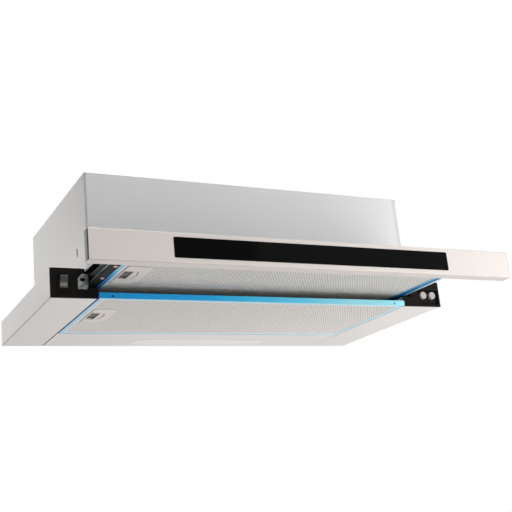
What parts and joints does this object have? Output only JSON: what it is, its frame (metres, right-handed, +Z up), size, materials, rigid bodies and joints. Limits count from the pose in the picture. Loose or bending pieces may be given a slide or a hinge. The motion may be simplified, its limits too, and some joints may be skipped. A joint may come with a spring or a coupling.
{
  "type": "pull out range hood",
  "caption": "Slim pull out range hood: a sliding visor with a grease filter, a filter that swings down, lamp strip, centrifugal fan and round duct collar.",
  "frame": {"origin": "middle of the lower edge of the rear face that stands against the wall", "axes": "+X to the right seen from the front, +Y towards the wall, +Z up; the visor pulls out along -Y"},
  "size_m": [0.598, 0.4403, 0.2144],
  "materials": {
    "white_enamel": "smooth baked enamel",
    "black_plastic": "fine satin moulding",
    "rocker_plastic": "glossy moulding",
    "button_plastic": "satin moulding",
    "zinc_steel": "zinc plated, dull",
    "black_enamel": "semi-gloss enamel",
    "light_enamel": "semi-gloss enamel",
    "grey_enamel": "satin enamel",
    "fascia_glass": "back-painted, polished",
    "filter_frame": "under a blue protective film",
    "filter_mesh": "expanded foil, dull",
    "latch_plastic": "satin moulding",
    "lamp_diffuser": "translucent moulding",
    "reflector_plastic": "smooth moulding",
    "circuit_board": "white solder mask",
    "wheel_plastic": "moulded",
    "motor_enamel": "dipped enamel",
    "capacitor_can": "smooth case",
    "lead_sheath": "smooth sheath"
  },
  "bodies": {
    "casing": {"base_side_left": "white_enamel", "base_side_right": "white_enamel", "base_back": "white_enamel", "lamp_panel": "white_enamel", "box_side_left": "white_enamel", "box_side_right": "white_enamel", "box_front": "white_enamel", "box_back": "white_enamel", "box_top": "white_enamel", "control_housing_left": "black_plastic", "control_housing_right": "black_plastic", "rocker_switch_body": "black_plastic", "button_switch_body": "black_plastic", "slide_brackets_left": "zinc_steel", "slide_brackets_right": "zinc_steel", "slide_rail_fixed_left": "zinc_steel", "slide_rail_fixed_right": "zinc_steel", "lamp_lens": "lamp_diffuser", "lamp_reflector": "reflector_plastic", "lamp_board": "circuit_board", "scroll_left": "zinc_steel", "scroll_right": "zinc_steel", "motor": "motor_enamel", "motor_bracket": "zinc_steel", "capacitor": "capacitor_can", "duct_collar": "black_plastic", "flap_pin": "zinc_steel", "collar_screws": "zinc_steel", "terminal_box": "black_plastic", "cable_gland": "black_plastic", "wiring": "lead_sheath"},
    "visor": {"visor_side_left": "black_enamel", "visor_side_right": "light_enamel", "slide_rail_moving_left": "zinc_steel", "slide_rail_moving_right": "zinc_steel", "visor_rivets": "zinc_steel", "visor_front_beam": "grey_enamel", "visor_top_sheet": "black_enamel", "visor_rear_bar": "black_enamel", "fascia_panel": "white_enamel", "fascia_core": "black_plastic", "fascia_glass": "fascia_glass", "upper_filter_frame": "filter_frame", "upper_filter_mesh": "filter_mesh", "upper_latch_plate": "latch_plastic"},
    "upper_latch": {"upper_latch_slider": "latch_plastic"},
    "lower_filter": {"lower_filter_frame": "filter_frame", "lower_filter_mesh": "filter_mesh", "lower_latch_plate": "latch_plastic"},
    "lower_latch": {"lower_latch_slider": "latch_plastic"},
    "cage_left": {"slide_ball_cage_left": "zinc_steel"},
    "cage_right": {"slide_ball_cage_right": "zinc_steel"},
    "rocker": {"rocker": "rocker_plastic"},
    "button_left": {"push_button_left": "button_plastic"},
    "button_right": {"push_button_right": "button_plastic"},
    "flap_front": {"flap_front": "black_plastic"},
    "flap_rear": {"flap_rear": "black_plastic"},
    "rotor": {"impeller": "wheel_plastic", "impeller_blades": "wheel_plastic", "motor_shaft": "zinc_steel"}
  },
  "joints": [
    {"name": "visor_slide", "type": "slide", "parent": "casing", "child": "visor", "axis": [0, -1, 0], "range_m": [-0.14, 0]},
    {"name": "cage_left_slide", "type": "slide", "parent": "casing", "child": "cage_left", "axis": [0, -1, 0], "range_m": [-0.07, 0]},
    {"name": "cage_right_slide", "type": "slide", "parent": "casing", "child": "cage_right", "axis": [0, -1, 0], "range_m": [-0.07, 0]},
    {"name": "upper_latch_slide", "type": "slide", "parent": "visor", "child": "upper_latch", "axis": [1, 0, 0], "range_m": [0, 0.005], "stiffness_N_per_m": 300, "springref_m": -0.001},
    {"name": "lower_filter_drop", "type": "hinge", "parent": "casing", "child": "lower_filter", "pos_m": [0.2317, -0.1845, 0.0012], "axis": [0, -1, 0], "range_deg": [0, 40]},
    {"name": "lower_latch_slide", "type": "slide", "parent": "lower_filter", "child": "lower_latch", "axis": [1, 0, 0], "range_m": [0, 0.005], "stiffness_N_per_m": 300, "springref_m": -0.001},
    {"name": "rocker_tilt", "type": "hinge", "parent": "casing", "child": "rocker", "pos_m": [-0.2821, -0.2796, 0.021], "axis": [1, 0, 0], "range_deg": [-24, 0]},
    {"name": "left_button_press", "type": "slide", "parent": "casing", "child": "button_left", "axis": [0, 1, 0], "range_m": [0, 0.003], "stiffness_N_per_m": 300, "springref_m": -0.001},
    {"name": "right_button_press", "type": "slide", "parent": "casing", "child": "button_right", "axis": [0, 1, 0], "range_m": [0, 0.003], "stiffness_N_per_m": 300, "springref_m": -0.001},
    {"name": "front_flap_hinge", "type": "hinge", "parent": "casing", "child": "flap_front", "pos_m": [0, -0.112, 0.186], "axis": [-1, 0, 0], "range_deg": [0, 75]},
    {"name": "rear_flap_hinge", "type": "hinge", "parent": "casing", "child": "flap_rear", "pos_m": [0, -0.112, 0.186], "axis": [1, 0, 0], "range_deg": [0, 75]},
    {"name": "fan_spin", "type": "hinge", "parent": "casing", "child": "rotor", "pos_m": [0, -0.133, 0.104], "axis": [1, 0, 0], "continuous": true}
  ],
  "couplings": [
    {"joint": "cage_left_slide", "follows": "visor_slide", "ratio": 0.5},
    {"joint": "cage_right_slide", "follows": "visor_slide", "ratio": 0.5}
  ]
}
